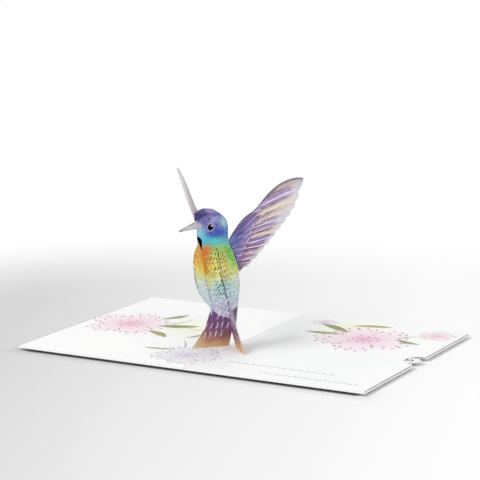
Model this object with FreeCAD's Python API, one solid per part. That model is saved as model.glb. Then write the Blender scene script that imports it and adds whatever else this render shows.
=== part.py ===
"""Pop up card lying open, with a folded paper bird standing on its fold.

Millimetres. X runs across the fold to the right, Y along the fold away from the bird's beak, and Z up.
The origin is the middle of the cover's underside, on the fold. The bird is mirrored about X = 0.
"""
import FreeCAD, Part
import math
import os

V = FreeCAD.Vector

# Card
page_width = 127.0
page_height = 177.8
cover_thickness = 0.5
liner_thickness = 0.35
liner_inset = 1.2
fold_groove_width = 1.2
fold_groove_depth = 0.2

# Pocket between cover and liner, and the note in it
pocket_depth = 0.6
flap_width = 8.0
strip_width = 6.0
strip_offset = 27.0
notch_radius = 11.0
note_thickness = 0.35
note_end_gap = 1.0
note_side_gap = 1.3
note_mouth_offset = 0.8
tab_radius = 6.65
tab_neck_width = 9.0

# Paper of the bird
paper = 0.3
glue_gap = 0.1
cut_margin = 1.0
inner_rounds = 200
half_seam = 0.05
flatness = 1e-7

# Tail: a V with two legs that lean forward, and the spreader above it inside the body
tail_apex_y = -19.0
tail_lean = math.radians(18.8)
tail_half_angle = math.radians(42.0)
tail_foot_length = 29.7
tail_foot_inner = 3.5
tail_split_height = 10.6
tail_split_curve = 0.55
tail_split_knee = 0.45
tail_waist_height = 27.0
tail_waist_bow = 1.6
spreader_top = 62.0
spreader_gap = 0.5
glue_tab_start = 7.0
glue_tab_length = 16.0
glue_tab_width = 4.0
glue_tab_overlap = 0.3
slit_gap = 0.15

# Body: where the four creases of one half lie at each height above the liner.
# Each row holds the height, the front edge's Y, the front crease, the rear crease and the ridge's Y.
# The creases run smoothly through these stations, with a few rings of corners between two stations.
body_stations = [
    (30.0, -49.8, (7.6, -40.2), (8.5, -29.8), -15.5),
    (40.0, -53.3, (10.3, -48.7), (11.5, -33.6), -15.0),
    (51.0, -58.2, (10.6, -54.3), (12.5, -35.5), -17.0),
    (64.0, -62.0, (9.8, -57.5), (12.0, -40.5), -24.0),
]
chest_end_low = (3.3, -44.7, 25.4)
chest_end_side = (6.9, -38.6, 23.6)
side_end = (8.1, -36.8, 28.2)
back_end = (-16.5, 13.0)
neck_front = (-64.0, 71.5)
neck_ridge = (-33.0, 72.6)
ring_steps = 3

# Head: each side is one flat panel, given by Y and height along its edge
neck_crease = (-56.5, 72.8)
neck_rear = (-47.3, 72.6)
head_front_x = 0.12
head_front_y = -70.0
head_flare = 0.52
head_rear_edge = [(-48.9, 80.3), (-48.8, 86.4), (-50.0, 91.0), (-52.4, 93.9)]
head_top_edge = [(-55.2, 96.0), (-62.7, 96.1), (-69.8, 92.9)]
head_throat_edge = [(-69.8, 82.5), (-66.6, 79.3)]
nape_ridge = [(-39.5, 80.3), (-44.5, 86.4), (-48.7, 91.2), (-50.4, 95.6)]

# Crown cap and beak
crown_ridge = [(-73.4, 92.2), (-73.8, 98.0), (-61.6, 99.1), (-49.8, 97.2)]
crown_lift = 0.1
crown_brim = 0.9
beak_gap = 0.15
beak_length = 20.0
beak_drop = 2.6
beak_half_width = 1.7
beak_base_depth = 4.7
beak_base_back = 4.8

# Wings: the root line on the back, as shares of the way from rear crease to ridge,
# and the outline in the wing's own plane, as (out from the root, up along the root)
wing_root_station = 2
wing_root_low_share = 0.31
wing_root_high_share = 0.42
wing_direction = (0.680, 0.622, 0.388)
wing_lead = [(1.8, 27.4), (6.7, 32.1), (13.2, 36.7), (18.4, 38.9), (22.6, 39.8), (31.8, 44.6),
             (38.7, 48.2), (45.9, 50.2), (52.4, 50.2), (57.9, 48.9), (61.9, 46.5)]
wing_feather_tips = [(59.0, 41.6), (54.6, 34.8), (50.2, 29.2), (45.6, 25.4), (41.0, 22.2), (36.3, 19.2),
                     (31.4, 16.0), (26.2, 12.6), (20.8, 9.4), (15.4, 6.4), (9.8, 3.8)]
wing_heel = (1.4, 1.6)
feather_notch = 1.2
notch_share = 0.5
covert_lead = [(2.2, 26.8), (6.8, 31.0), (12.8, 35.2), (18.4, 37.4)]
covert_tips = [(23.3, 34.6), (20.6, 30.0), (17.4, 25.4), (13.8, 21.0), (10.0, 16.8), (6.2, 12.8)]
covert_heel = (2.3, 9.4)
wing_tab_width = 5.0
wing_root_gap = 0.35
covert_root_gap = 1.3

# Levels and places worked out from the sizes above
liner_underside = cover_thickness + pocket_depth
liner_top = liner_underside + liner_thickness
liner_half_width = page_width - liner_inset
liner_half_height = page_height / 2 - liner_inset
note_underside = cover_thickness + (pocket_depth - note_thickness) / 2
neck_ring = len(body_stations) * ring_steps
wing_root_ring = wing_root_station * ring_steps
head_outline = head_rear_edge + head_top_edge + head_throat_edge


def block(x0, x1, y0, y1, z0, z1):
    return Part.makeBox(x1 - x0, y1 - y0, z1 - z0, V(x0, y0, z0))


def disc(radius, x, z0, z1):
    return Part.makeCylinder(radius, z1 - z0, V(x, 0, z0))


def mirrored(shape):
    return shape.mirror(V(0, 0, 0), V(1, 0, 0))


def facet_normal(points):
    normal = V(0, 0, 0)
    for here, after in zip(points, points[1:] + points[:1]):
        normal = normal + here.cross(after)
    return normal.normalize()


def inner_point(point, normals, thickness):
    """The point that lies one thickness below every facet that meets at this corner."""
    shift = V(0, 0, 0)
    for _ in range(inner_rounds):
        for normal in normals:
            short = thickness - shift.dot(normal)
            shift = shift + normal * (short / len(normals))
    return point - shift


def folded_sheet(points, facets, thickness, stop_x=None):
    """A creased sheet: outer corners and facets, with the paper's thickness added behind them."""
    names = sorted({name for facet in facets for name in facet})
    normals = [facet_normal([points[name] for name in facet]) for facet in facets]
    inner = {}
    for name in names:
        meeting = [normal for facet, normal in zip(facets, normals) if name in facet]
        corner = inner_point(points[name], meeting, thickness)
        if stop_x is not None and corner.x < stop_x:
            corner.x = stop_x
        inner[name] = corner
    edges = [(a, b) for facet in facets for a, b in zip(facet, facet[1:] + facet[:1])]
    faces = []
    for facet in facets:
        faces += skin([points[name] for name in facet])
        faces += skin([inner[name] for name in facet])
    for a, b in edges:
        if (b, a) not in edges:
            faces.append(flat_face([points[a], inner[a], inner[b]]))
            faces.append(flat_face([points[a], inner[b], points[b]]))
    return Part.makeSolid(Part.makeShell(faces))


def flat_face(points):
    return Part.Face(Part.makePolygon(points + points[:1]))


def skin(points):
    """One face where the corners lie in a plane, and a fan of triangles where they don't."""
    normal = facet_normal(points)
    if max(abs((point - points[0]).dot(normal)) for point in points) < flatness:
        return [flat_face(points)]
    return [flat_face([points[0], here, after]) for here, after in zip(points[1:], points[2:])]


def triangles(rings):
    """Facets between neighbouring rows of named corners, each row as long as the next."""
    facets = []
    for low, high in zip(rings, rings[1:]):
        for step in range(len(low) - 1):
            facets.append((low[step], low[step + 1], high[step + 1]))
            facets.append((low[step], high[step + 1], high[step]))
    return facets


def raised(point):
    return V(point.x, point.y, point.z + liner_top)


def make_cover():
    board = block(-page_width, page_width, -page_height / 2, page_height / 2, 0, cover_thickness)
    return cut_fold(board, page_height / 2, cover_thickness).cut(
        disc(notch_radius, page_width, -cut_margin, liner_top + cut_margin))


def cut_fold(sheet, half_length, top):
    """Scores a V groove along the fold into the upper face."""
    groove = [V(-fold_groove_width / 2, -half_length, top), V(0, -half_length, top - fold_groove_depth),
              V(fold_groove_width / 2, -half_length, top)]
    return sheet.cut(flat_face(groove).extrude(V(0, 2 * half_length, 0)))


def make_liner():
    w = liner_half_width
    h = liner_half_height
    t = liner_thickness
    sheet = block(-w, w, -h, h, liner_underside, liner_top)
    flap_top = cover_thickness + t
    for sign in (-1, 1):
        edge = sorted((sign * h, sign * (h - t)))
        wall = block(-w, w, edge[0], edge[1], cover_thickness, liner_underside)
        reach = sorted((sign * h, sign * (h - flap_width)))
        flap = block(-w, w, reach[0], reach[1], cover_thickness, flap_top)
        sheet = sheet.fuse([wall, flap])
    wall = block(-w, -w + t, -h, h, cover_thickness, liner_underside)
    flap = block(-w, -w + flap_width, -h, h, cover_thickness, flap_top)
    sheet = cut_fold(sheet.fuse([wall, flap]), h, liner_top)
    sheet = sheet.cut(disc(notch_radius, page_width, 0, liner_top + cut_margin))
    for slit in (make_slit(), mirrored(make_slit())):
        sheet = sheet.cut(slit)
    return sheet.removeSplitter()


def make_pocket_strip():
    reach = liner_half_height - flap_width - glue_gap
    return block(strip_offset, strip_offset + strip_width, -reach, reach, cover_thickness, liner_underside)


def make_note_card():
    start = strip_offset + strip_width + note_end_gap
    end = page_width - notch_radius - note_mouth_offset
    reach = liner_half_height - flap_width - note_side_gap
    top = note_underside + note_thickness
    tab_x = page_width - tab_radius
    card = block(start, end, -reach, reach, note_underside, top)
    neck = block(end - cut_margin, tab_x, -tab_neck_width / 2, tab_neck_width / 2, note_underside, top)
    tab = disc(tab_radius, tab_x, note_underside, top)
    return card.fuse([neck, tab]).removeSplitter()


def spine(height):
    """The tail's crease at a height above the liner."""
    return V(0, tail_apex_y - height * math.tan(tail_lean), height)


def leg(out, height):
    """A point of the right leg, so far out from the crease at that height."""
    start = spine(height)
    return V(out * math.sin(tail_half_angle), start.y - out * math.cos(tail_half_angle), height)


def smooth_line(corners):
    """A smooth crease through its stations, with ring_steps steps from one station to the next."""
    curve = Part.BSplineCurve()
    curve.interpolate(Points=corners, Parameters=[float(index) for index in range(len(corners))])
    count = (len(corners) - 1) * ring_steps
    return [curve.value(step / ring_steps) for step in range(count + 1)]


def body_creases():
    """Front edge, front crease, rear crease and ridge of the right half, from tail end to neck."""
    rows = body_stations
    return {
        "f": smooth_line([V(half_seam, row[1], row[0]) for row in rows] + [V(half_seam, *neck_front)]),
        "a": smooth_line([V(*row[2], row[0]) for row in rows] + [head_point(*neck_crease)]),
        "b": smooth_line([V(*row[3], row[0]) for row in rows] + [head_point(*neck_rear)]),
        "g": smooth_line([V(half_seam, row[4], row[0]) for row in rows] + [V(half_seam, *neck_ridge)]),
    }


def side_line(height):
    """Front and rear crease of the body's side at a height."""
    creases = body_creases()
    rows = list(zip(creases["a"], creases["b"]))
    low = max(index for index in range(len(rows) - 1) if index == 0 or rows[index][0].z <= height)
    share = (height - rows[low][0].z) / (rows[low + 1][0].z - rows[low][0].z)
    return [a + (b - a) * share for a, b in zip(rows[low], rows[low + 1])]


def spreader_reach(height):
    """How far out a leg may go inside the body before it meets the side."""
    front, rear = side_line(height)
    start = spine(height)
    slope = (rear.x - front.x) / (rear.y - front.y)
    along_x = math.sin(tail_half_angle)
    along_y = -math.cos(tail_half_angle)
    meet = (front.x + slope * (start.y - front.y)) / (along_x - slope * along_y)
    return meet - (paper + spreader_gap) / along_x


def tail_corners():
    heights = [station[0] for station in body_stations[:-1]] + [spreader_top]
    waist = (tail_foot_length + spreader_reach(heights[0])) / 2 - tail_waist_bow
    outer = [leg(tail_foot_length, 0), leg(waist, tail_waist_height / 2)]
    outer += [leg(spreader_reach(height), height) for height in heights]
    knee = leg(tail_foot_inner * tail_split_curve, tail_split_height * tail_split_knee)
    inner = [leg(tail_foot_inner, 0), knee]
    return inner, outer


def make_tail_fold():
    inner, outer = tail_corners()
    split = spine(tail_split_height)
    top = spine(spreader_top)
    points = {"split": split, "top": top}
    names = []
    for index, point in enumerate(inner + outer):
        points["r%d" % index] = point
        points["l%d" % index] = V(-point.x, point.y, point.z)
        names.append(index)
    points = {name: raised(point) for name, point in points.items()}
    order = [0] + names[len(inner):]
    right = ["split", "r1"] + ["r%d" % index for index in order] + ["top"]
    left = ["top"] + ["l%d" % index for index in reversed(order)] + ["l1", "split"]
    sheet = folded_sheet(points, [tuple(right), tuple(left)], paper)
    tabs = [make_glue_tab(), mirrored(make_glue_tab())]
    return sheet.fuse(tabs).removeSplitter()


def tab_plan(start, length, behind, ahead):
    """A rectangle under the right leg's foot, seen from above, as corners at the liner's top."""
    along = (leg(1, 0) - leg(0, 0)).normalize()
    across = V(along.y, -along.x, 0)
    base = leg(start, 0)
    corners = [base - across * behind, base + along * length - across * behind,
               base + along * length + across * ahead, base + across * ahead]
    return corners


def make_slit():
    corners = tab_plan(glue_tab_start - slit_gap, glue_tab_length + 2 * slit_gap,
                       paper + slit_gap, slit_gap)
    low = [V(point.x, point.y, liner_underside - slit_gap) for point in corners]
    return flat_face(low).extrude(V(0, 0, liner_thickness + 2 * slit_gap))


def make_glue_tab():
    stem = tab_plan(glue_tab_start, glue_tab_length, paper, 0)
    low = [V(point.x, point.y, liner_underside - paper) for point in stem]
    stem = flat_face(low).extrude(V(0, 0, liner_thickness + paper + glue_tab_overlap))
    flap = tab_plan(glue_tab_start, glue_tab_length, glue_tab_width, 0)
    low = [V(point.x, point.y, liner_underside - paper) for point in flap]
    flap = flat_face(low).extrude(V(0, 0, paper))
    return stem.fuse(flap)


def head_point(y, height):
    return V(head_front_x + head_flare * (y - head_front_y), y, height)


def body_points():
    """Outer corners of the right half of the body and head."""
    points = {}
    for line, corners in body_creases().items():
        for index, corner in enumerate(corners):
            points["%s%d" % (line, index)] = corner
    points["chest_low"] = V(*chest_end_low)
    points["chest_side"] = V(*chest_end_side)
    points["side_end"] = V(*side_end)
    points["back_end"] = V(half_seam, *back_end)
    for index, place in enumerate(head_outline):
        points["h%d" % index] = head_point(*place)
    for index, place in enumerate(nape_ridge):
        points["n%d" % index] = V(half_seam, *place)
    return {name: raised(point) for name, point in points.items()}


def body_facets():
    rings = [["%s%d" % (line, index) for line in "fabg"] for index in range(neck_ring + 1)]
    facets = triangles(rings)
    facets += [("f0", "chest_low", "a0"), ("chest_low", "chest_side", "a0"), ("a0", "side_end", "b0"),
               ("b0", "back_end", "g0")]
    front, crease, rear, ridge = rings[-1]
    head = ["h%d" % index for index in range(len(head_outline))]
    facets += [(front, crease, head[-1]), tuple([crease, rear] + head)]
    nape = [(rear, ridge)] + [("h%d" % index, "n%d" % index) for index in range(len(nape_ridge))]
    facets += triangles(nape)
    facets.append(nape[-1] + (head[len(nape_ridge)],))
    return facets


def make_body_shell():
    return folded_sheet(body_points(), body_facets(), paper, stop_x=half_seam)


def make_crown():
    points = {}
    facets = []
    ridge = crown_ridge
    edge = list(reversed(head_top_edge))
    brim = V(1, -head_flare, 0).normalize() * crown_brim
    for index, (y, height) in enumerate(ridge):
        points["r%d" % index] = V(0, y, height)
    for index, (y, height) in enumerate(edge):
        side = head_point(y, height + crown_lift) + brim
        points["e%d" % index] = side
        points["m%d" % index] = V(-side.x, side.y, side.z)
    right = [("r0", "e0", "r1"), ("r1", "e0", "e1"), ("r1", "e1", "r2"), ("r2", "e1", "e2"),
             ("r2", "e2", "r3")]
    for facet in right:
        facets.append(facet)
        facets.append(tuple(name.replace("e", "m") for name in reversed(facet)))
    points = {name: raised(point) for name, point in points.items()}
    return folded_sheet(points, facets, paper)


def make_beak():
    base_y, base_z = crown_ridge[0]
    ridge = V(0, base_y, base_z - beak_gap)
    tip = ridge - V(0, beak_length, beak_drop)
    low = ridge + V(beak_half_width, beak_base_back, -beak_base_depth)
    points = {"ridge": ridge, "tip": tip, "right": low, "left": V(-low.x, low.y, low.z)}
    points = {name: raised(point) for name, point in points.items()}
    return folded_sheet(points, [("tip", "right", "ridge"), ("tip", "ridge", "left")], paper)


def back_point(ring, share):
    """A point on the back facet, part of the way from the rear crease to the ridge."""
    corners = body_points()
    rear = corners["b%d" % ring]
    return rear + (corners["g%d" % ring] - rear) * share


def wing_frame():
    """Lower root corner, outward and upward directions and normal of the right wing's plane."""
    root = back_point(wing_root_ring, wing_root_low_share)
    top = back_point(neck_ring, wing_root_high_share)
    up = (top - root).normalize()
    out = V(*wing_direction)
    out = (out - up * out.dot(up)).normalize()
    return root, out, up, up.cross(out)


def wing_point(place, offset=0.0):
    root, out, up, normal = wing_frame()
    return root + out * place[0] + up * place[1] + normal * offset


def root_shares():
    """Where the wing's plane crosses the back facet at each ring, from rear crease to ridge."""
    corners = body_points()
    root, out, up, normal = wing_frame()
    shares = {}
    for ring in range(wing_root_ring, neck_ring + 1):
        rear = (corners["b%d" % ring] - root).dot(normal)
        ridge = (corners["g%d" % ring] - root).dot(normal)
        shares[ring] = rear / (rear - ridge)
    return shares


def root_edge(gap, lowest):
    """The root edge in the wing's plane, clear of the back by a gap, above a lowest place."""
    root, out, up, normal = wing_frame()
    places = []
    for ring, share in root_shares().items():
        run = back_point(ring, share) - root
        if run.dot(up) > lowest:
            places.append((run.dot(out) + gap, run.dot(up)))
    return places


def feathered_outline(lead, tips, heel, offset, root_gap):
    """A smooth leading edge, then rounded feather ends with a small notch between neighbours."""
    root = root_edge(root_gap, heel[1] + cut_margin)
    lead_points = [wing_point(place, offset) for place in [root[-1]] + lead]
    curve = Part.BSplineCurve()
    curve.interpolate(lead_points)
    edges = [curve.toShape()]
    here = lead[-1]
    for tip, after in zip(tips, tips[1:] + [heel]):
        notch = between(tip, after, notch_share, feather_notch)
        edges.append(arc_edge(here, tip, notch, offset))
        here = notch
    rest = [wing_point(place, offset) for place in [here, heel] + root]
    edges += [Part.LineSegment(a, b).toShape() for a, b in zip(rest, rest[1:])]
    return Part.Wire(edges)


def between(a, b, share, inset):
    """A place between two feather ends, moved in from the edge."""
    run = (b[0] - a[0], b[1] - a[1])
    length = math.hypot(*run)
    return (a[0] + run[0] * share + inset * run[1] / length,
            a[1] + run[1] * share - inset * run[0] / length)


def arc_edge(start, middle, end, offset):
    arc = Part.Arc(wing_point(start, offset), wing_point(middle, offset), wing_point(end, offset))
    return arc.toShape()


def make_wing():
    normal = wing_frame()[3]
    outline = feathered_outline(wing_lead, wing_feather_tips, wing_heel, 0, wing_root_gap)
    blade = Part.Face(outline).extrude(normal * paper)
    return blade.fuse(make_wing_tab()).removeSplitter()


def make_wing_tab():
    """The strip along the wing's root that is glued on the back of the body."""
    corners = body_points()
    points = {}
    rings = []
    for ring, share in root_shares().items():
        rear = corners["b%d" % ring]
        run = corners["g%d" % ring] - rear
        start = rear + run * share + V(run.y, -run.x, 0).normalize() * (glue_gap + paper)
        points["root%d" % ring] = start
        points["end%d" % ring] = start + run * (wing_tab_width / run.Length)
        rings.append(("root%d" % ring, "end%d" % ring))
    return folded_sheet(points, triangles(rings), paper)


def make_covert():
    normal = wing_frame()[3]
    offset = -glue_gap - paper
    outline = feathered_outline(covert_lead, covert_tips, covert_heel, offset, covert_root_gap)
    return Part.Face(outline).extrude(normal * paper)


def main():
    shell = make_body_shell()
    wing = make_wing()
    covert = make_covert()
    nodes = {
        "cover": make_cover(),
        "liner": make_liner(),
        "pocket_strip": make_pocket_strip(),
        "note_card": make_note_card(),
        "tail_fold": make_tail_fold(),
        "body_shell_right": shell,
        "body_shell_left": mirrored(shell),
        "crown": make_crown(),
        "beak": make_beak(),
        "wing_right": wing,
        "wing_left": mirrored(wing),
        "covert_right": covert,
        "covert_left": mirrored(covert),
    }
    os.makedirs("parts", exist_ok=True)
    for name, shape in nodes.items():
        shape.exportStep("parts/%s.step" % name)
        box = shape.BoundBox
        print("%-17s valid %s solids %d volume %.1f  x %.1f %.1f  y %.1f %.1f  z %.2f %.2f" % (
            name, shape.isValid(), len(shape.Solids), shape.Volume,
            box.XMin, box.XMax, box.YMin, box.YMax, box.ZMin, box.ZMax))


main()
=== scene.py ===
"""The looks of an opened pop up card with a folded paper hummingbird on its fold."""

import math

import bmesh
import bpy
from mathutils import Matrix, Vector
from mathutils.bvhtree import BVHTree


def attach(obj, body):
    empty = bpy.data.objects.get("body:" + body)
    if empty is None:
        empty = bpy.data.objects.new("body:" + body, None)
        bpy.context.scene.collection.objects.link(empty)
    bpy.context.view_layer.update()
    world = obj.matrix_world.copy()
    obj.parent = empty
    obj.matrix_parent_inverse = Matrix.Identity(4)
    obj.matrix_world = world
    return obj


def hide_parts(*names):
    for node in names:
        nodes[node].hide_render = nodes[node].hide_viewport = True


MM = 0.001
# The page's top face and half the card's width and depth, in millimetres
LINER_TOP = 1.45
HALF_WIDTH = 127.0
HALF_DEPTH = 88.9
SHEET = 0.3 * MM
WELD = 0.002 * MM
CREASE_ANGLE = math.radians(15)

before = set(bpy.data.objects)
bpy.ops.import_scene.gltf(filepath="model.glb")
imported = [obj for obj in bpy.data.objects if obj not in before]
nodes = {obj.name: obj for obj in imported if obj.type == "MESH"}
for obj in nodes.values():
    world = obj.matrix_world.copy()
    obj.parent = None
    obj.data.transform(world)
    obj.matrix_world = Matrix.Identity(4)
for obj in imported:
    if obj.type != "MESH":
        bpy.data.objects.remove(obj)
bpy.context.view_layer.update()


def tint(red, green, blue):
    """A colour as it looks on a screen, from 0 to 255, in the linear form that a shader takes."""
    shares = [level / 255 for level in (red, green, blue)]
    linear = [share / 12.92 if share < 0.04 else ((share + 0.055) / 1.055) ** 2.4 for share in shares]
    return (*linear, 1.0)


class Field:
    """A number or colour that varies over a surface, so that a print can be written as a formula."""

    def __init__(self, tree, socket):
        self.tree = tree
        self.socket = socket

    def plug_into(self, socket):
        self.tree.links.new(self.socket, socket)

    def sum(self, operation, *others):
        node = self.tree.nodes.new("ShaderNodeMath")
        node.operation = operation
        for socket, value in zip(node.inputs, (self, *others)):
            plug(value, socket)
        return Field(self.tree, node.outputs[0])

    def __add__(self, other):
        return self.sum("ADD", other)

    def __sub__(self, other):
        return self.sum("SUBTRACT", other)

    def __mul__(self, other):
        return self.sum("MULTIPLY", other)

    def __truediv__(self, other):
        return self.sum("DIVIDE", other)

    def size(self):
        return self.sum("ABSOLUTE")

    def power(self, other):
        return self.sum("POWER", other)

    def root(self):
        return self.sum("SQRT")

    def sine(self):
        return self.sum("SINE")

    def whole(self):
        return self.sum("FLOOR")

    def part(self):
        return self.sum("FRACT")

    def lower(self, other):
        return self.sum("MINIMUM", other)

    def higher(self, other):
        return self.sum("MAXIMUM", other)

    def angle(self, other):
        """The angle of a point, this number across and the other along, in radians."""
        return self.sum("ARCTAN2", other)

    def step(self, start, end):
        """Rises softly from 0 at the start to 1 at the end, which may also lie below the start."""
        node = self.tree.nodes.new("ShaderNodeMapRange")
        node.interpolation_type = "SMOOTHSTEP"
        for name, value in (("Value", self), ("From Min", start), ("From Max", end)):
            plug(value, node.inputs[name])
        return Field(self.tree, node.outputs["Result"])


def plug(value, socket):
    if isinstance(value, Field):
        value.plug_into(socket)
    else:
        socket.default_value = value


class Paint:
    """A material whose colour is built from formulas of the place on the object, in millimetres."""

    def __init__(self, name, roughness=0.55, gloss=0.3):
        self.material = bpy.data.materials.new(name)
        self.material.use_nodes = True
        self.tree = self.material.node_tree
        self.shader = self.tree.nodes["Principled BSDF"]
        self.shader.inputs["Roughness"].default_value = roughness
        self.shader.inputs["Specular IOR Level"].default_value = gloss
        place = self.tree.nodes.new("ShaderNodeTexCoord")
        split = self.tree.nodes.new("ShaderNodeSeparateXYZ")
        self.tree.links.new(place.outputs["Object"], split.inputs[0])
        self.x, self.y, self.z = [Field(self.tree, socket) * (1 / MM) for socket in split.outputs]

    def point(self, across, along, up=0.0):
        node = self.tree.nodes.new("ShaderNodeCombineXYZ")
        for socket, value in zip(node.inputs, (across, along, up)):
            plug(value, socket)
        return Field(self.tree, node.outputs[0])

    def noise(self, lump, place=None, detail=2.0):
        """Soft random patches from 0 to 1, each about one lump across."""
        node = self.tree.nodes.new("ShaderNodeTexNoise")
        node.inputs["Scale"].default_value = 1 / lump
        node.inputs["Detail"].default_value = detail
        (place or self.point(self.x, self.y, self.z)).plug_into(node.inputs["Vector"])
        return Field(self.tree, node.outputs[0])

    def chance(self, across, along):
        """One random number from 0 to 1 for each cell."""
        node = self.tree.nodes.new("ShaderNodeTexWhiteNoise")
        node.noise_dimensions = "3D"
        self.point(across, along, 0.5).plug_into(node.inputs["Vector"])
        return Field(self.tree, node.outputs["Value"])

    def mix(self, below, above, share):
        node = self.tree.nodes.new("ShaderNodeMix")
        node.data_type = "RGBA"
        plug(share, node.inputs[0])
        plug(below, node.inputs[6])
        plug(above, node.inputs[7])
        return Field(self.tree, node.outputs[2])

    def ramp(self, value, stops):
        """Colours along a number: each stop is a place and a colour as seen on screen."""
        first, last = stops[0][0], stops[-1][0]
        node = self.tree.nodes.new("ShaderNodeValToRGB")
        elements = node.color_ramp.elements
        elements[0].color = stops[0][1]
        elements[1].color = stops[-1][1]
        for place, colour in stops[1:-1]:
            elements.new((place - first) / (last - first)).color = colour
        ((value - first) * (1 / (last - first))).plug_into(node.inputs[0])
        return Field(self.tree, node.outputs[0])

    def curve(self, value, points):
        """A number that follows straight runs through points of place and number."""
        low = min(number for place, number in points)
        span = max(number for place, number in points) - low
        greys = [(place, (*[(number - low) / span] * 3, 1.0)) for place, number in points]
        return self.ramp(value, greys) * span + low

    def colours(self, value, stops):
        return self.ramp(value, [(place, tint(*colour)) for place, colour in stops])

    def spot(self, across, along, centre, reach):
        """A soft round patch: 1 at its centre, 0 from its reach on."""
        a = (across - centre[0]) * (1 / reach[0])
        b = (along - centre[1]) * (1 / reach[1])
        return (a * a + b * b).root().step(1.0, 0.0)

    def fibres(self, strength=0.12):
        """The faint relief of uncoated paper."""
        node = self.tree.nodes.new("ShaderNodeBump")
        node.inputs["Strength"].default_value = strength
        node.inputs["Distance"].default_value = 0.05 * MM
        (self.noise(0.5, detail=4.0) + self.noise(2.5) * 0.6).plug_into(node.inputs["Height"])
        self.tree.links.new(node.outputs[0], self.shader.inputs["Normal"])

    def done(self, colour, relief=0.12):
        plug(colour, self.shader.inputs["Base Color"])
        self.fibres(relief)
        return self.material


def specks(paint, across, height, row_height, width, share):
    """Small slanted strokes in loose rows, like the marks on small feathers."""
    sway = paint.noise(4.0) - 0.5
    rows = height * (1 / row_height) + sway * 2.2
    row = rows.whole()
    columns = across * (1 / width) + row * 0.41 + sway * 1.6
    chance = paint.chance(columns.whole(), row)
    other = paint.chance(columns.whole() + 40.0, row)
    a = (columns.part() - 0.5) * width + (chance - 0.5) * 1.1
    b = (rows.part() - 0.5) * row_height + (other - 0.5) * 1.1
    slant = a - b * 0.5 + b * b * 0.3
    far = (slant * slant * 3.0 + b * b * 0.9).root()
    return far.step(1.25, 0.7) * chance.step(1.0 - share, 1.1 - share) * (other * 0.4 + 0.7)


# Lines of the body, as height above the page and place along the fold: where the two chest panels meet, the
# crease between chest and side, and the fold between side and back
CHEST_LINE = [(24, -44), (30, -49.8), (36.6, -51.8), (43.4, -54.9), (51, -58.2), (64, -62), (72, -64)]
SIDE_CREASE = [(24, -38.6), (30, -40.2), (33.3, -43.4), (36.6, -46.2), (40, -48.7), (43.4, -50.8),
               (47.1, -52.7), (51, -54.3), (55.3, -55.7), (59.8, -56.8), (64, -57.5), (67.7, -57.7),
               (72.8, -56.5)]
BACK_FOLD = [(28, -30.2), (30, -29.8), (33.3, -31.6), (36.6, -32.8), (40, -33.6), (47.1, -34.7),
             (51, -35.5), (55.3, -36.8), (59.8, -38.5), (64, -40.5), (67.7, -42.7), (70.6, -44.9),
             (72.6, -47.3)]
NECK = (74.4, 77.0)


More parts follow.
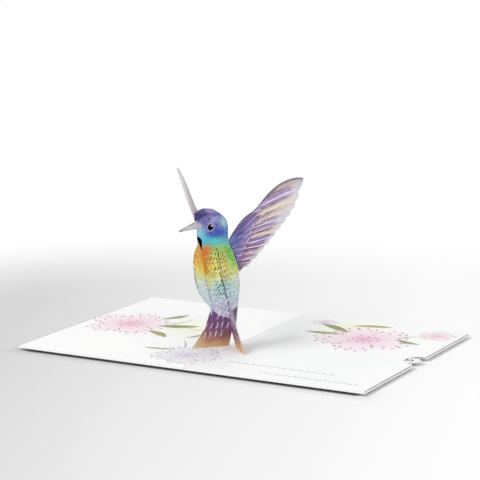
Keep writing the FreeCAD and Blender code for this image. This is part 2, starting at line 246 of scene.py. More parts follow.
def trunk_colour(paint, height, wash, fine):
    """Throat, chest, sides and back: orange and gold above, pale blue and lilac below, green at the back."""
    out = paint.x.size()
    y = paint.y
    level = height + wash * 7.0 + fine * 2.5
    front = paint.curve(height, CHEST_LINE)
    crease = paint.curve(height, SIDE_CREASE)
    rear = paint.curve(height, BACK_FOLD)
    chest_share = ((crease - y) / (crease - front)).lower(1.0).higher(0.0)
    side_share = ((y - crease) / (rear - crease)).lower(1.0).higher(0.0)
    near_chest = paint.colours(level, [
        (22, (188, 180, 208)), (34, (184, 188, 210)), (44, (178, 200, 206)), (49, (206, 210, 160)),
        (54, (212, 196, 96)), (59, (214, 174, 44)), (64, (212, 144, 36)), (70, (216, 118, 38)),
        (73, (212, 134, 70)), (75.5, (160, 186, 130)), (79, (110, 200, 190))])
    far_chest = paint.colours(level, [
        (22, (196, 196, 218)), (36, (190, 204, 216)), (46, (192, 210, 204)), (53, (204, 206, 132)),
        (59, (220, 184, 44)), (64, (212, 150, 4)), (68, (204, 144, 8)), (74, (200, 154, 50)),
        (80, (206, 180, 120))])
    side_front = paint.colours(level, [
        (22, (206, 196, 218)), (32, (200, 194, 218)), (38, (184, 204, 216)), (47, (166, 210, 206)),
        (52, (206, 218, 160)), (57, (224, 210, 88)), (63, (214, 200, 76)), (69, (190, 200, 96)),
        (73, (150, 200, 120)), (77, (96, 196, 190))])
    side_rear = paint.colours(level, [
        (22, (206, 198, 218)), (32, (200, 204, 220)), (42, (190, 218, 218)), (50, (214, 226, 200)),
        (55, (208, 222, 116)), (60, (164, 210, 82)), (66, (108, 196, 54)), (72, (104, 192, 76)),
        (75, (120, 192, 150)), (79, (110, 172, 196))])
    toward_side = (chest_share + wash * 0.8 + fine * 0.4 + (height - 60.0) * 0.012).step(0.78, 0.22)
    near_chest = paint.mix(near_chest, side_front, toward_side)
    # Painted shadow: a dark orange patch on the near chest panel next to its middle fold, where an
    # overlapping feather casts shade.
    lobe_shadow = paint.spot(chest_share, level, (0.9, 60), (0.3, 10)) * 0.7
    near_chest = paint.mix(near_chest, tint(176, 92, 24), lobe_shadow)
    chest = paint.mix(near_chest, far_chest, paint.x.step(0.02, -0.02))
    side = paint.mix(side_front, side_rear, (side_share + wash * 0.5).step(0.25, 0.75))
    back = paint.colours(level, [
        (14, (150, 120, 160)), (26, (168, 160, 206)), (36, (150, 190, 206)), (48, (150, 206, 170)),
        (58, (104, 184, 84)), (68, (76, 168, 100)), (74, (70, 136, 180)), (79, (70, 110, 184))])
    body = paint.mix(chest, side, (y - crease).step(-0.25, 0.25))
    body = paint.mix(body, back, (y - rear).step(0.0, 1.2))
    seam = (y - crease + fine * 0.3).size().step(0.55, 0.15)
    seam = seam * height.step(75, 72) * height.step(70, 46).higher(0.6)
    seam_colour = paint.colours(height, [
        (22, (112, 104, 134)), (34, (84, 100, 128)), (46, (60, 96, 104)), (54, (108, 98, 44)),
        (64, (116, 84, 40)), (72, (104, 80, 50))])
    body = paint.mix(body, seam_colour, seam)
    # Painted shade: grey-blue along the chest's middle fold low down, where shade gathers in the valley
    # between the two chest panels.
    fold = (chest_share + fine * 0.05).step(0.9, 1.0) * height.step(58, 48) * 0.5
    body = paint.mix(body, tint(120, 134, 140), fold)
    # Painted highlight: a near-white line along the back fold, where light catches the crease.
    edge = (y - rear - 0.35).size().step(0.7, 0.3) * height.step(73, 70) * 0.85
    body = paint.mix(body, tint(244, 244, 240), edge)
    around = y + out
    barb = paint.point(around * 0.8 - height * 0.45, height * 0.7 + around * 0.3)
    mottle = paint.noise(1.0, barb, 3.0)
    plain = chest_share.step(0.5, 0.9) * height.step(50, 58)
    open_share = plain * -0.85 + 1.0
    body = paint.mix(body, tint(250, 250, 240), mottle.step(0.52, 0.7) * open_share * 0.35)
    dark = specks(paint, around, height, 3.1, 2.5, 0.88) * height.step(74, 69)
    dark = dark * (chest_share.step(0.85, 0.4) * 0.85 + 0.15)
    dark = dark * (side_share.step(0.1, 0.5) * -0.45 + 1.0) * paint.x.step(-1.0, 0.5)
    shade = paint.colours(height, [
        (20, (118, 106, 150)), (36, (72, 92, 124)), (48, (48, 88, 92)), (54, (82, 84, 30)),
        (62, (84, 72, 20)), (70, (30, 84, 30))])
    body = paint.mix(body, shade, mottle.step(0.46, 0.3) * open_share * 0.35)
    pale = specks(paint, around + 1.25, height + 1.5, 3.1, 2.5, 0.5) * height.step(72, 60)
    body = paint.mix(body, tint(252, 252, 244), pale * open_share * 0.7)
    return paint.mix(body, shade, dark)


# Soft patches of the head: place along the fold and height, reach both ways, colour and strength
HEAD_PATCHES = [
    ((-60.0, 97.5), (17.0, 9.0), (120, 106, 170), 1.0),
    ((-64.5, 90.5), (11.0, 8.0), (112, 98, 168), 1.0),
    ((-57.0, 88.5), (6.5, 7.0), (104, 96, 176), 0.8),
    ((-52.0, 89.0), (5.0, 8.0), (176, 208, 220), 1.0),
    ((-49.5, 81.5), (4.0, 10.0), (84, 138, 184), 0.8),
    ((-55.5, 83.0), (9.0, 7.0), (40, 72, 176), 1.0),
    ((-61.0, 83.0), (5.5, 4.4), (52, 84, 180), 0.8),
    ((-68.4, 85.0), (6.5, 8.5), (156, 216, 232), 1.0),
    ((-66.0, 80.2), (8.0, 6.0), (92, 210, 224), 1.0),
    ((-58.5, 77.6), (10.0, 5.0), (76, 208, 206), 1.0),
    ((-50.5, 76.2), (9.0, 4.4), (110, 188, 188), 0.9),
    ((-58.5, 92.0), (6.0, 4.6), (168, 170, 210), 0.9),
    ((-61.3, 92.9), (1.7, 1.5), (80, 56, 132), 0.9),
    ((-57.5, 94.6), (1.6, 1.1), (78, 60, 136), 0.7)]
EYE = (-60.9, 87.1)
EYE_RADIUS = 2.0


def head_colour(paint, height, wash, fine):
    """Blue and lilac head, turquoise below, with the grey horn round the beak and the black eye."""
    y = paint.y
    head_y = y + wash * 3.0 + fine * 1.5
    head_z = height + wash * 4.0 + fine * 2.0
    head = paint.mix(tint(82, 106, 184), tint(104, 136, 200), paint.noise(4.0).step(0.35, 0.65))
    for centre, reach, colour, strength in HEAD_PATCHES:
        head = paint.mix(head, tint(*colour), paint.spot(head_y, head_z, centre, reach) * strength)
    barbs = paint.noise(1.0, paint.point(y * 0.45 + height * 0.5, height * 0.9 - y * 0.9), 3.0)
    head = paint.mix(head, tint(206, 214, 238), barbs.step(0.54, 0.72) * 0.45)
    head = paint.mix(head, tint(50, 52, 122), barbs.step(0.46, 0.32) * 0.4)
    horn = paint.spot(y - fine, height + fine, (-70.2, 88.6), (4.2, 3.4)).step(0.0, 0.35)
    head = paint.mix(head, tint(198, 192, 206), horn * 0.9)
    eye_y = y - EYE[0]
    eye_z = height - EYE[1]
    eye = (eye_y * eye_y + eye_z * eye_z).root()
    plug(eye.step(EYE_RADIUS - 0.1, EYE_RADIUS + 0.4) * 0.3, paint.shader.inputs["Specular IOR Level"])
    head = paint.mix(head, tint(176, 162, 204), eye.step(EYE_RADIUS + 1.1, EYE_RADIUS + 0.4) * 0.8)
    head = paint.mix(head, tint(8, 8, 14), eye.step(EYE_RADIUS + 0.15, EYE_RADIUS - 0.15))
    glint = paint.spot(y, height, (-60.0, 88.0), (0.85, 0.7)).step(0.0, 0.5)
    return paint.mix(head, tint(240, 242, 248), glint)


def body_print():
    """Trunk and head of the bird, which meet at a soft line at the neck."""
    paint = Paint("body_print", 0.5)
    height = paint.z - LINER_TOP
    wash = paint.noise(8.0) - 0.5
    fine = paint.noise(2.2, detail=3.0) - 0.5
    trunk = trunk_colour(paint, height, wash, fine)
    head = head_colour(paint, height, wash, fine)
    neck = (height + fine * 2.5 + wash * 2.0 + (paint.y + 57.0) * 0.05).step(*NECK)
    return paint.done(paint.mix(trunk, head, neck))


def crown_print():
    """Navy in front, lavender at the sides behind, with a dark ridge."""
    paint = Paint("crown_print", 0.5)
    wash = paint.noise(4.0) - 0.5
    streak = paint.noise(1.0, paint.point(paint.x * 0.9, paint.y * 0.28, paint.z * 0.5), 3.0)
    navy = paint.mix(tint(54, 50, 106), tint(74, 69, 132), streak.step(0.4, 0.62))
    navy = paint.mix(navy, tint(44, 40, 92), streak.step(0.42, 0.3) * 0.6)
    lilac = paint.mix(tint(118, 104, 168), tint(146, 132, 188), streak.step(0.42, 0.64))
    behind = (paint.y + wash * 2.0).step(-64.0, -62.8)
    low = (paint.x.size() + wash).step(0.8, 1.8)
    return paint.done(paint.mix(navy, lilac, behind * low))


def beak_print():
    """Silver grey, darker along the ridge and the lower edge."""
    paint = Paint("beak_print", 0.45)
    cloud = paint.noise(2.5, paint.point(paint.x, paint.y * 0.4, paint.z * 1.5))
    colour = paint.mix(tint(224, 219, 227), tint(198, 193, 203), cloud.step(0.35, 0.65))
    colour = paint.mix(colour, tint(146, 142, 148), paint.x.size().step(0.35, 0.1) * 0.8)
    lower = (paint.y + 72.0) * 0.05 + 90.2 - paint.z
    colour = paint.mix(colour, tint(140, 134, 144), lower.step(-0.2, 1.4) * 0.5)
    return paint.done(paint.mix(colour, tint(120, 116, 124), paint.y.step(-88.0, -93.2) * 0.3))


def tail_print():
    """Plum to gold, with rows of pale strokes."""
    paint = Paint("tail_print", 0.5)
    height = paint.z - LINER_TOP
    out = paint.x.size() * 1.5
    row_height = 6.2
    width = 3.9
    wash = paint.noise(6.0) - 0.5
    rise = (paint.x.size() + height * 0.37).step(12.5, 19.0) * 6.0
    level = height - rise + wash * 4.0
    colour = paint.colours(level, [
        (-6, (226, 202, 170)), (0, (214, 182, 142)), (2.5, (206, 164, 118)), (5, (182, 132, 110)),
        (8, (154, 100, 112)), (13, (134, 86, 128)), (20, (126, 88, 144)), (27, (144, 120, 170)),
        (34, (160, 150, 190))])
    lit = paint.x.step(0.5, 3.0).higher(paint.y.step(-26.0, -23.0)) * height.step(12, 24)
    colour = paint.mix(colour, tint(232, 222, 238), lit * 0.9)
    streaks = paint.noise(1.0, paint.point(out * 0.9, height * 0.16, 0.0), 3.0)
    colour = paint.mix(colour, tint(224, 190, 146), streaks.step(0.54, 0.74) * 0.55 * height.step(17, 4))
    colour = paint.mix(colour, tint(62, 36, 72), streaks.step(0.45, 0.3) * 0.6 * height.step(2, 9))
    rows = height * (1 / row_height) + wash * 0.5
    row = rows.whole()
    columns = out * (1 / width) + row * 0.5 + wash * 0.3
    chance = paint.chance(columns.whole(), row)
    a = (columns.part() - 0.5) * width
    b = (rows.part() - 0.5) * row_height + (chance - 0.5) * 1.2
    bow = (a + b * 0.5 - b * b * 0.09 + 0.3).size()
    stroke = bow.step(0.6, 0.15) * b.size().step(2.7, 1.3) * chance.step(0.05, 0.4)
    stroke = stroke * height.step(4.5, 7.0) * height.step(30.0, 27.0)
    return paint.done(paint.mix(colour, tint(240, 228, 240), stroke * 0.9))


# The wing's plane in the right wing: the root's lower end, the way out and the way up along the root
WING_ROOT = Vector((8.54, -29.64, 52.45))
WING_UP = Vector((-0.0693, -0.4642, 0.8830))
WING_OUT = Vector((0.6805, 0.6252, 0.3821))


def wing_place(paint):
    """Out from the root and up along it, in millimetres, for either wing."""
    run = [paint.x.size() - WING_ROOT.x, paint.y - WING_ROOT.y, paint.z - WING_ROOT.z]
    out = run[0] * WING_OUT.x + run[1] * WING_OUT.y + run[2] * WING_OUT.z
    up = run[0] * WING_UP.x + run[1] * WING_UP.y + run[2] * WING_UP.z
    return out, up


# Feather print: each lane's colour in its middle part, from the heel to the leading edge, where each lane
# starts, in degrees about a point behind the root, and how far out its feather reaches
LANES = [(140, 126, 132), (178, 152, 168), (164, 122, 160), (196, 166, 172), (150, 100, 150),
         (136, 110, 182), (222, 190, 140), (172, 128, 166), (180, 166, 206), (222, 200, 186),
         (232, 214, 180), (174, 148, 194), (218, 186, 146), (154, 134, 154)]
LANE_STARTS = [-22.5, -20.3, -17.8, -15.6, -13.4, -11.3, -9.4, -7.7, -6.1, -4.4, -2.4, 0.0, 3.2, 6.4]
FEATHER_ENDS = [(-22.5, 4), (-18.9, 9.8), (-16.7, 15.4), (-14.5, 20.8), (-12.3, 26.2), (-10.3, 31.4),
                (-8.5, 36.3), (-6.9, 41), (-5.3, 45.6), (-3.6, 50.2), (-1.3, 54.6), (1.4, 59), (4, 62),
                (6.4, 60)]
# The leading edge: out from the root and up along it
LEADING_EDGE = [(-2, 22), (1.8, 27.4), (6.7, 32.1), (13.2, 36.7), (22.6, 39.8), (31.8, 44.6), (38.7, 48.2),
                (45.9, 50.2), (52.4, 50.2), (57.9, 48.9), (61.9, 46.5)]


def wing_print():
    """Long feathers, nearly parallel, each with a pale shaft, in mauve, violet and sand; painted shade greys
    the left wing.
    """
    paint = Paint("wing_print", 0.36, 0.5)
    out, up = wing_place(paint)
    wash = paint.noise(7.0) - 0.5
    fine = paint.noise(2.0, detail=3.0) - 0.5
    turn = (up - 38.0).angle(out + 90.0) * (180 / math.pi)
    lane = paint.curve(turn + wash * 0.5, [(start, index) for index, start in enumerate(LANE_STARTS)])
    edge = paint.curve(turn, FEATHER_ENDS)
    share = (out / edge).lower(1.5)
    inside = lane.part()
    barbs = paint.noise(1.0, paint.point(lane * 4.5, out * 0.1 - inside * 0.5), 3.0)
    stops = []
    for index, shade in enumerate(LANES):
        stops += [(index + 0.12, tint(*shade)), (index + 0.88, tint(*shade))]
    middle = paint.ramp(lane, stops)
    root = paint.colours(share, [
        (0.0, (92, 84, 160)), (0.3, (122, 86, 148)), (0.55, (138, 90, 140)), (1.0, (160, 130, 174))])
    colour = paint.mix(root, middle, (share + wash * 0.6 + fine * 0.3).step(0.36, 0.6))
    plum = wash.step(0.02, 0.22) * share.step(0.85, 0.6)
    colour = paint.mix(colour, tint(112, 78, 138), plum * 0.45)
    sand = wash.step(-0.04, -0.22) * share.step(0.4, 0.6)
    colour = paint.mix(colour, tint(228, 202, 160), sand * 0.5)
    below = inside.step(0.5, 0.3) * share.step(0.9, 0.55)
    colour = paint.mix(colour, tint(120, 72, 134), below * 0.6)
    colour = paint.mix(colour, tint(240, 232, 242), barbs.step(0.5, 0.66) * 0.75)
    colour = paint.mix(colour, tint(96, 66, 128), barbs.step(0.45, 0.28) * 0.55 * share.step(1.0, 0.7))
    gap = inside.step(0.08, 0.0).higher(inside.step(0.92, 1.0))
    colour = paint.mix(colour, tint(104, 74, 126), gap * 0.6 * share.step(1.0, 0.6))
    shaft = (inside - 0.5 + fine * 0.04).size().step(0.13, 0.03)
    shaft = shaft * share.step(0.3, 0.5) * share.step(1.0, 0.9)
    colour = paint.mix(colour, tint(250, 242, 248), shaft * (barbs * 0.5 + 0.55))
    rim = (share + (barbs - 0.5) * 0.6 + fine * 0.3).step(0.72, 0.96)
    colour = paint.mix(colour, tint(228, 224, 230), rim * 0.9)
    margin = paint.curve(out, LEADING_EDGE) - up
    colour = paint.mix(colour, tint(112, 96, 138), (margin + fine * 2.0).step(4.0, 0.5) * 0.55)
    tip = paint.spot(out, up, (59.0, 47.0), (14.0, 7.0))
    colour = paint.mix(colour, tint(196, 188, 196), tip * barbs.step(0.3, 0.6) * 0.8)
    colour = paint.mix(colour, tint(104, 98, 108), margin.step(1.4, 0.4) * out.step(10.0, 36.0) * 0.8)
    heel = paint.spot(out, up, (3.0, 4.0), (8.0, 5.5)) * (fine + 0.8)
    colour = paint.mix(colour, tint(118, 106, 112), heel)
    # Painted shade: the left wing's print is turned grey, darker near the root and paler further out, as
    # that wing is backlit.
    left = paint.mix(tint(140, 134, 144), tint(214, 209, 214), (out + fine * 6.0).step(30.0, 50.0))
    return paint.done(paint.mix(colour, left, paint.x.step(0.0, -1.0) * 0.7), 0.1)


def covert_print():
    """Short blue feathers that fan out from the wing's root and turn violet."""
    paint = Paint("covert_print", 0.36, 0.5)
    out, up = wing_place(paint)
    wash = paint.noise(5.0) - 0.5
    a = out + 9.6
    b = up - 22.5
    turn = b.angle(a) * (180 / math.pi)
    reach = (a * a + b * b).root()
    lane = paint.curve(turn + wash * 3.0, [(-56, -1), (-40, 0), (-24, 1), (-10, 2), (1, 3), (10, 4), (17, 5),
                                           (26, 6), (40, 7)])
    edge = paint.curve(turn, [(-48, 17.7), (-31.5, 18.5), (-16, 20.4), (-3.7, 23.4), (6, 27.2), (14, 31.1),
                              (20, 35), (26, 34), (40, 33)])
    share = reach / edge
    inside = lane.part()
    streaks = paint.noise(1.0, paint.point(turn * 0.26, reach * 0.06, 0.0), 2.0)
    colour = paint.colours(share + wash * 0.2, [
        (0.3, (58, 80, 158)), (0.48, (72, 84, 166)), (0.6, (100, 88, 160)), (0.78, (130, 104, 170)),
        (1.0, (150, 120, 178))])
    root = share.step(0.95, 0.55)
    colour = paint.mix(colour, tint(180, 196, 232), streaks.step(0.5, 0.64) * (root * 0.6 + 0.25))
    colour = paint.mix(colour, tint(38, 40, 108), streaks.step(0.47, 0.33) * (root * 0.6 + 0.25))
    colour = paint.mix(colour, tint(164, 144, 200), streaks.step(0.5, 0.7) * share.step(0.7, 0.9) * 0.5)
    shaft = (inside - 0.5).size().step(0.1, 0.02) * share.step(0.7, 0.85)
    colour = paint.mix(colour, tint(232, 222, 244), shaft * 0.7)
    lead = turn.step(15.0, 27.0) * share.step(0.4, 0.7)
    colour = paint.mix(colour, tint(92, 76, 134), lead * 0.6)
    tips = share.step(0.92, 0.98) * inside.step(0.35, 0.65) * turn.step(17.5, 16.5)
    return paint.done(paint.mix(colour, tint(232, 224, 244), tips * 0.8), 0.1)


# Blossoms: centre, radius, turn in radians, and how far they lean from pink to lavender grey
BLOSSOMS = [((-94.0, 4.0), 32.0, 0.3, 0.0), ((-14.0, -58.0), 25.0, 0.7, 1.0), ((70.0, 38.0), 35.0, 0.9, 0.0),
            ((110.0, 70.0), 14.0, 0.2, 0.1), ((24.0, 72.0), 10.0, 0.5, 0.8)]
# Leaves and stems: middle, direction in degrees, half length, half width, bend
LEAVES = [((-60.0, 12.0), 24, 15.0, 4.6, 0.006), ((-62.0, -14.0), -32, 13.0, 3.6, -0.01),
          ((-76.0, 36.0), 62, 12.0, 3.4, 0.008), ((-38.0, 34.0), 12, 13.0, 2.4, -0.012),
          ((-66.0, 24.0), 72, 20.0, 0.7, 0.012), ((-42.0, 10.0), -12, 20.0, 0.6, 0.012),
          ((-36.0, -8.0), 70, 11.0, 1.8, 0.02), ((-40.0, -50.0), 12, 12.0, 2.0, 0.012),
          ((-31.0, -33.0), 118, 17.0, 0.6, 0.01), ((38.0, 60.0), 148, 17.0, 4.0, 0.006),
          ((36.0, 44.0), 190, 14.0, 3.2, -0.01), ((60.0, 76.0), 16, 15.0, 3.4, -0.008),
          ((94.0, 58.0), 44, 15.0, 0.7, 0.01), ((99.0, 44.0), -20, 11.0, 3.0, 0.014)]


def blossoms(paint, paper):
    """Five-petalled blossoms, washed out towards the rim, with veins and rings of dark dots.

    Each place on the page belongs to the blossom that is nearest, measured in that blossom's radius.
    """
    nearest = None
    for centre, radius, start, lean in BLOSSOMS:
        dx = paint.x - centre[0]
        dy = paint.y - centre[1]
        distance = (dx * dx + dy * dy).root() * (1 / radius)
        if nearest is None:
            nearest = distance
            turn = dy.angle(dx) + start
            cool = paint.x * 0.0 + lean
            continue
        wins = (nearest - distance).step(0.0, 0.001)
        turn = turn + (dy.angle(dx) + start - turn) * wins
        cool = cool + (cool * -1.0 + lean) * wins
        nearest = nearest.lower(distance)
    sway = paint.noise(6.0) - 0.5
    lobes = (turn * 2.5).sine().size().power(0.55)
    rim = lobes * 0.34 + sway * 0.1 + 0.66
    depth = nearest / rim
    inside = depth.step(1.0, 0.93)
    pink = paint.colours(depth + sway * 0.2, [
        (0.0, (224, 148, 180)), (0.15, (240, 188, 210)), (0.4, (247, 218, 230)), (0.7, (251, 233, 239)),
        (1.0, (252, 238, 243))])
    grey = paint.colours(depth + sway * 0.2, [
        (0.0, (196, 190, 206)), (0.3, (222, 219, 229)), (0.7, (233, 231, 237)), (1.0, (240, 239, 243))])
    petal = paint.mix(pink, grey, cool)
    veins = (turn * 21.0 + sway * 2.0).sine().size().step(0.35, 0.0)
    veins = veins * depth.step(0.12, 0.3) * depth.step(1.0, 0.6)
    petal = paint.mix(petal, paint.mix(tint(255, 240, 246), tint(240, 240, 248), cool), veins * 0.6)
    fold = lobes.step(0.5, 0.1) * depth.step(0.2, 0.5)
    petal = paint.mix(petal, paint.mix(tint(232, 150, 188), tint(176, 174, 200), cool), fold * 0.5)
    colour = paint.mix(paper, petal, inside * 0.85)
    for ring, count, dot in ((0.3, 11.0, 0.017), (0.78, 21.0, 0.022), (0.95, 31.0, 0.022)):
        lane = turn * (count / math.tau) + ring * 7.0
        chance = paint.chance(lane.whole(), ring)
        side = (lane.part() - 0.5) * (math.tau / count) * nearest
        off = nearest - rim * ring + (chance - 0.5) * 0.14
        far = (side * side + off * off).root()
        mark = far.step(dot * 1.8, dot * 0.9)
        colour = paint.mix(colour, paint.mix(tint(104, 70, 92), tint(104, 104, 124), cool), mark * 0.85)
    return colour


def leaves(paint, colour):
    """Slender olive leaves and thin stems, each bent a little."""
    sway = paint.noise(4.0) - 0.5
    best = None
    for centre, direction, half, width, bend in LEAVES:
        cosine, sine = math.cos(math.radians(direction)), math.sin(math.radians(direction))
        dx = paint.x - centre[0]
        dy = paint.y - centre[1]
        along = dx * cosine + dy * sine
        off = (dy * cosine - dx * sine - along * along * bend + bend * half * half * 0.5).size()
        leaf = (along * along * (-width / half ** 2) + width) - off
        if best is None:
            best = leaf
            rib = off
            continue
        rib = rib + (off - rib) * (leaf - best).step(0.0, 0.01)
        best = best.higher(leaf)
    cover = (best + sway * 0.5).step(0.0, 0.4)
    green = paint.mix(tint(150, 160, 84), tint(112, 122, 66), paint.noise(5.0).step(0.35, 0.65))
    green = paint.mix(green, tint(186, 150, 96), paint.noise(14.0).step(0.5, 0.68) * 0.7)
    green = paint.mix(green, tint(206, 212, 160), rib.step(0.5, 0.15) * best.step(0.8, 1.6) * 0.6)
    return paint.mix(colour, green, cover * 0.92)


def garland(paint, colour, start, end, place, wave, swing):
    """A thin wavy line with small leaves on both sides, in grey."""
    x = paint.x
    sway = paint.noise(9.0) - 0.5
    line = (x * wave + sway * 3.0).sine() * (sway * 1.4 + 0.6) * swing + place
    ends = x.step(start, start + 1.0) * x.step(end, end - 1.0)
    stem = (paint.y - line).size().step(0.28, 0.1)
    lane = (x * (wave / math.pi) + 0.5)
    side = (lane.whole() * math.pi + math.pi / 2).sine()
    a = (lane.part() - 0.5) * (math.pi / wave)
    b = paint.y - place - side * swing * -0.35
    leaf = (a * a * 0.55 + b * b * 1.2 + a * b * side * -0.7).root().step(0.95, 0.6)
    return paint.mix(colour, tint(120, 116, 128), stem.higher(leaf * 0.8) * ends * 0.62)


def page_print():
    """White pages with blossoms, leaves and two ornament lines, with painted shade along and next to the
    fold and on the greyer cut edges.
    """
    paint = Paint("page_print", 0.6, 0.25)
    cloud = paint.noise(60.0)
    paper = paint.mix(tint(254, 254, 253), tint(250, 251, 251), cloud.step(0.35, 0.65))
    wash = paint.spot(paint.x, paint.y, (-46.0, 14.0), (42.0, 40.0)).higher(
        paint.spot(paint.x, paint.y, (52.0, 66.0), (40.0, 26.0)))
    paper = paint.mix(paper, tint(249, 250, 226), wash * 0.8)
    # Painted shade: the right page is greyer next to the fold, fading out over 40 mm, in place of the bird's
    # soft shadow there.
    painted_fold_shade = paint.x.step(40.0, 0.0) * paint.x.step(-0.4, 0.4)
    paper = paint.mix(paper, tint(242, 243, 244), painted_fold_shade * 0.8)
    colour = leaves(paint, blossoms(paint, paper))
    # Painted shade: a thin grey line along the fold.
    colour = paint.mix(colour, tint(206, 207, 210), paint.x.size().step(0.55, 0.1) * 0.8)
    colour = garland(paint, colour, 17.0, 94.0, -60.0, 1.15, 1.5)
    colour = garland(paint, colour, 48.0, 118.0, -76.0, 0.9, 1.7)
    # Painted shade: the cut edges below the top face are grey, as they face away from the light.
    top = paint.z.step(LINER_TOP - 0.25, LINER_TOP - 0.15)
    return paint.done(paint.mix(tint(226, 226, 226), colour, top), 0.1)


def cover_print():
    """Plain white board, with painted shade that makes its cut edge greyer."""
    paint = Paint("cover_print", 0.6, 0.25)
    # Painted shade: the board's cut edge is grey, as it faces away from the light.
    flat = (paint.z - 0.25).size().step(0.2, 0.24)
    return paint.done(paint.mix(tint(222, 222, 222), tint(253, 253, 252), flat), 0.1)


def note_print():
    """Plain white card, with two small chevrons in a faint ring on the pull tab."""
    paint = Paint("note_print", 0.6, 0.25)
    y = paint.y.size()
    slant = paint.x + y * 0.8
    chevron = (slant - 118.2).size().lower((slant - 121.4).size()).step(1.0, 0.7) * y.step(2.7, 2.4)
    middle = paint.x - 120.35
    ring = ((middle * middle + paint.y * paint.y).root() - 5.6).size().step(0.4, 0.15)
    mark = chevron.higher(ring * 0.45) * paint.z.step(0.9, 0.95)
    return paint.done(paint.mix(tint(250, 250, 249), tint(84, 78, 92), mark), 0.1)


def plain_paper(name, colour):
    """Unprinted paper of one colour, a little cloudy."""
    paint = Paint(name, 0.6, 0.25)
    shade = tuple(level * 0.93 for level in colour)
    return paint.done(paint.mix(tint(*colour), tint(*shade), paint.noise(12.0).step(0.3, 0.8)), 0.15)


def inner_side_painted_light_and_shade():
    """The inner side of the bird: lilac below, paled as painted light, nearly black up in the throat as
    painted shade, light blue at the face.
    """
    paint = Paint("inner_side_painted_light_and_shade", 0.6, 0.2)
    # Painted light: the lilac is pale, in place of the light that the closed body keeps out.
    lilac = paint.mix(tint(242, 236, 246), tint(226, 216, 234), paint.noise(8.0))
    # Painted shade: nearly black up in the throat, in place of the shade inside the head.
    inside = paint.mix(lilac, tint(26, 24, 30), paint.z.step(30.0, 46.0))
    face = paint.y.step(-68.0, -69.2) * paint.z.step(81.5, 83.5)
    return paint.done(paint.mix(inside, tint(132, 166, 204), face))


def outward(centre, normal):
    """True for the outer side of the bird's two halves, which face away from its middle."""
    return normal.x * centre.x > 0


def dressed(name, printed, back, edge):
    """A copy of a folded CAD sheet with its own looks on the outer side, the inner side and the cut edge.

    A face whose opposite side lies further off than the sheet's thickness is a cut edge.
    """
    mesh = nodes[name].data.copy()
    mesh.materials.clear()
    for material in (printed, back, edge):
        mesh.materials.append(material)
    shape = bmesh.new()
    shape.from_mesh(mesh)
    bmesh.ops.remove_doubles(shape, verts=shape.verts, dist=WELD)
    shape.normal_update()
    rays = BVHTree.FromBMesh(shape)
    for face in shape.faces:
        centre = face.calc_center_median()
        distance = rays.ray_cast(centre - face.normal * WELD, -face.normal)[3]
        face.smooth = True
        if distance is None or distance > SHEET * 1.7:
            face.material_index = 2
        else:
            face.material_index = 0 if outward(centre, face.normal) else 1
    shape.to_mesh(mesh)
    shape.free()
    mesh.set_sharp_from_angle(angle=CREASE_ANGLE)
    piece = bpy.data.objects.new("paper_" + name, mesh)
    bpy.context.scene.collection.objects.link(piece)
    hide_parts(name)
    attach(piece, "card")


# Painted shade: the bird's cut edges are grey lavender rather than paper white, so that they don't show as
# bright lit lines.
shaded_edge_paper = plain_paper("shaded_cut_edge", (184, 178, 190))
inside = inner_side_painted_light_and_shade()
body = body_print()
tail = tail_print()
wing = wing_print()
covert = covert_print()
crown = crown_print()
beak = beak_print()
for side in ("right", "left"):
    dressed("body_shell_" + side, body, inside, shaded_edge_paper)
    dressed("wing_" + side, wing, wing, shaded_edge_paper)
    dressed("covert_" + side, covert, covert, shaded_edge_paper)
dressed("tail_fold", tail, tail, shaded_edge_paper)
dressed("crown", crown, crown, crown)
dressed("beak", beak, beak, shaded_edge_paper)

card_looks = {
    "cover": cover_print(),
    "liner": page_print(),
    "pocket_strip": plain_paper("strip_board", (244, 244, 242)),
    "note_card": note_print(),
}
for name, material in card_looks.items():
    nodes[name].data.materials.clear()
    nodes[name].data.materials.append(material)

# The photograph's viewpoint, found from the card's corners: metres, directions and a lens in millimetres
CAMERA_PLACE = Vector((0.5853, -1.1229, 0.30185))
CAMERA_RIGHT = Vector((0.885, 0.466, 0.003))
CAMERA_FORWARD = Vector((-0.458, 0.870, -0.180))
CAMERA_LENS = 143.6


def make_camera():
    data = bpy.data.cameras.new("camera")
    data.lens = CAMERA_LENS
    data.sensor_width = 36.0
    data.clip_start = 0.05
    data.clip_end = 20.0
    camera = bpy.data.objects.new("camera", data)
    bpy.context.scene.collection.objects.link(camera)
    forward = CAMERA_FORWARD.normalized()
    up = CAMERA_RIGHT.normalized().cross(forward).normalized()
    right = forward.cross(up)
    turned = Matrix((right, up, -forward)).transposed().to_4x4()
    camera.matrix_world = Matrix.Translation(CAMERA_PLACE) @ turned
    bpy.context.scene.camera = camera


def seen_directly(tree):
    """1 for rays from the camera and for mirror and glass rays, 0 for the light that falls on things."""
    rays = tree.nodes.new("ShaderNodeLightPath")
    direct = [Field(tree, rays.outputs[name]) for name in
              ("Is Camera Ray", "Is Glossy Ray", "Is Transmission Ray")]
    return direct[0].higher(direct[1]).higher(direct[2])


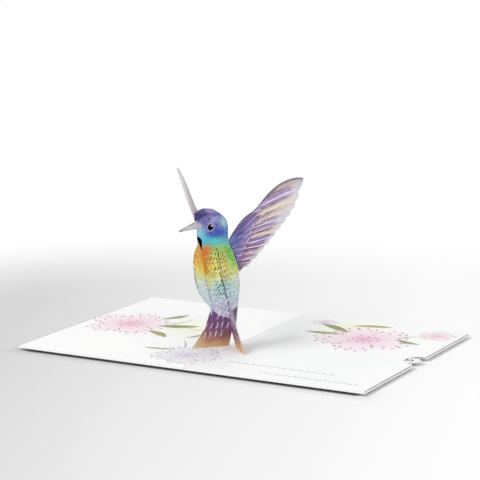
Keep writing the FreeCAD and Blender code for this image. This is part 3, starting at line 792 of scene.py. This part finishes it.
def make_floor():
    """A pale table with painted shade: greyer on the left, with painted shadow beneath and close to the
    card, and fading to white far from it.
    """
    reach = 6.0
    level = -1.8 * MM
    mesh = bpy.data.meshes.new("floor")
    mesh.from_pydata([(-reach, -reach, level), (reach, -reach, level), (reach, reach, level),
                      (-reach, reach, level)], [], [(0, 1, 2, 3)])
    floor = bpy.data.objects.new("floor", mesh)
    bpy.context.scene.collection.objects.link(floor)
    paint = Paint("floor", 0.9, 0.0)
    across = paint.x * CAMERA_RIGHT.x + paint.y * CAMERA_RIGHT.y
    depth = paint.y * CAMERA_RIGHT.x - paint.x * CAMERA_RIGHT.y
    # Painted shade: the table is greyer to the left, in place of the light falling off that way.
    colour = paint.colours(across - depth * 0.02, [
        (-170, (217, 217, 218)), (-125, (225, 225, 226)), (-60, (236, 236, 237)), (0, (242, 242, 243)),
        (80, (250, 250, 251)), (140, (255, 255, 255))])
    # Painted shadow: dark grey beneath the card, so that the gap below its edges reads dark.
    painted_shadow_under = paint.x.size().step(HALF_WIDTH - 4.0, HALF_WIDTH - 7.0)
    painted_shadow_under = painted_shadow_under * paint.y.size().step(HALF_DEPTH + 0.6, HALF_DEPTH - 0.9)
    outside = (paint.x.size() - HALF_WIDTH).higher(paint.y.size() - HALF_DEPTH)
    # Painted shadow: a soft grey band round the card's edges on its left side.
    painted_contact_shadow = outside.step(12.0, 0.0) * across.step(90.0, 60.0) * 0.22
    colour = paint.mix(colour, tint(150, 150, 153), painted_contact_shadow)
    plug(paint.mix(colour, tint(150, 150, 152), painted_shadow_under), paint.shader.inputs["Base Color"])
    glow = paint.tree.nodes.new("ShaderNodeEmission")
    blend = paint.tree.nodes.new("ShaderNodeMixShader")
    away = ((depth + 90.0) * (depth + 90.0) + across * across).root()
    fade = away.step(275.0, 515.0) * seen_directly(paint.tree)
    fade.plug_into(blend.inputs[0])
    paint.tree.links.new(paint.shader.outputs[0], blend.inputs[1])
    paint.tree.links.new(glow.outputs[0], blend.inputs[2])
    paint.tree.links.new(blend.outputs[0], paint.tree.nodes["Material Output"].inputs["Surface"])
    mesh.materials.append(paint.material)


def make_lamp(name, place, size, power):
    """A soft square lamp that points at the bird."""
    data = bpy.data.lights.new(name, "AREA")
    data.size = size
    data.energy = power
    lamp = bpy.data.objects.new(name, data)
    bpy.context.scene.collection.objects.link(lamp)
    lamp.location = place
    lamp.rotation_mode = "QUATERNION"
    lamp.rotation_quaternion = (Vector((0.0, 0.0, 0.04)) - Vector(place)).to_track_quat("-Z", "Y")


def make_world(strength):
    world = bpy.data.worlds.new("studio")
    bpy.context.scene.world = world
    world.use_nodes = True
    tree = world.node_tree
    tree.nodes.clear()
    white = tree.nodes.new("ShaderNodeBackground")
    soft = tree.nodes.new("ShaderNodeBackground")
    white.inputs["Color"].default_value = (1.0, 1.0, 1.0, 1.0)
    white.inputs["Strength"].default_value = 1.0
    soft.inputs["Color"].default_value = (1.0, 1.0, 1.0, 1.0)
    soft.inputs["Strength"].default_value = strength
    blend = tree.nodes.new("ShaderNodeMixShader")
    seen_directly(tree).plug_into(blend.inputs[0])
    tree.links.new(soft.outputs[0], blend.inputs[1])
    tree.links.new(white.outputs[0], blend.inputs[2])
    output = tree.nodes.new("ShaderNodeOutputWorld")
    tree.links.new(blend.outputs[0], output.inputs["Surface"])


make_camera()
make_floor()
make_world(0.62)
make_lamp("key", (-1.3, -2.8, 2.9), 1.5, 78.0)
make_lamp("fill", (2.6, -1.9, 2.4), 2.4, 22.0)
bpy.context.scene.view_settings.view_transform = "Standard"
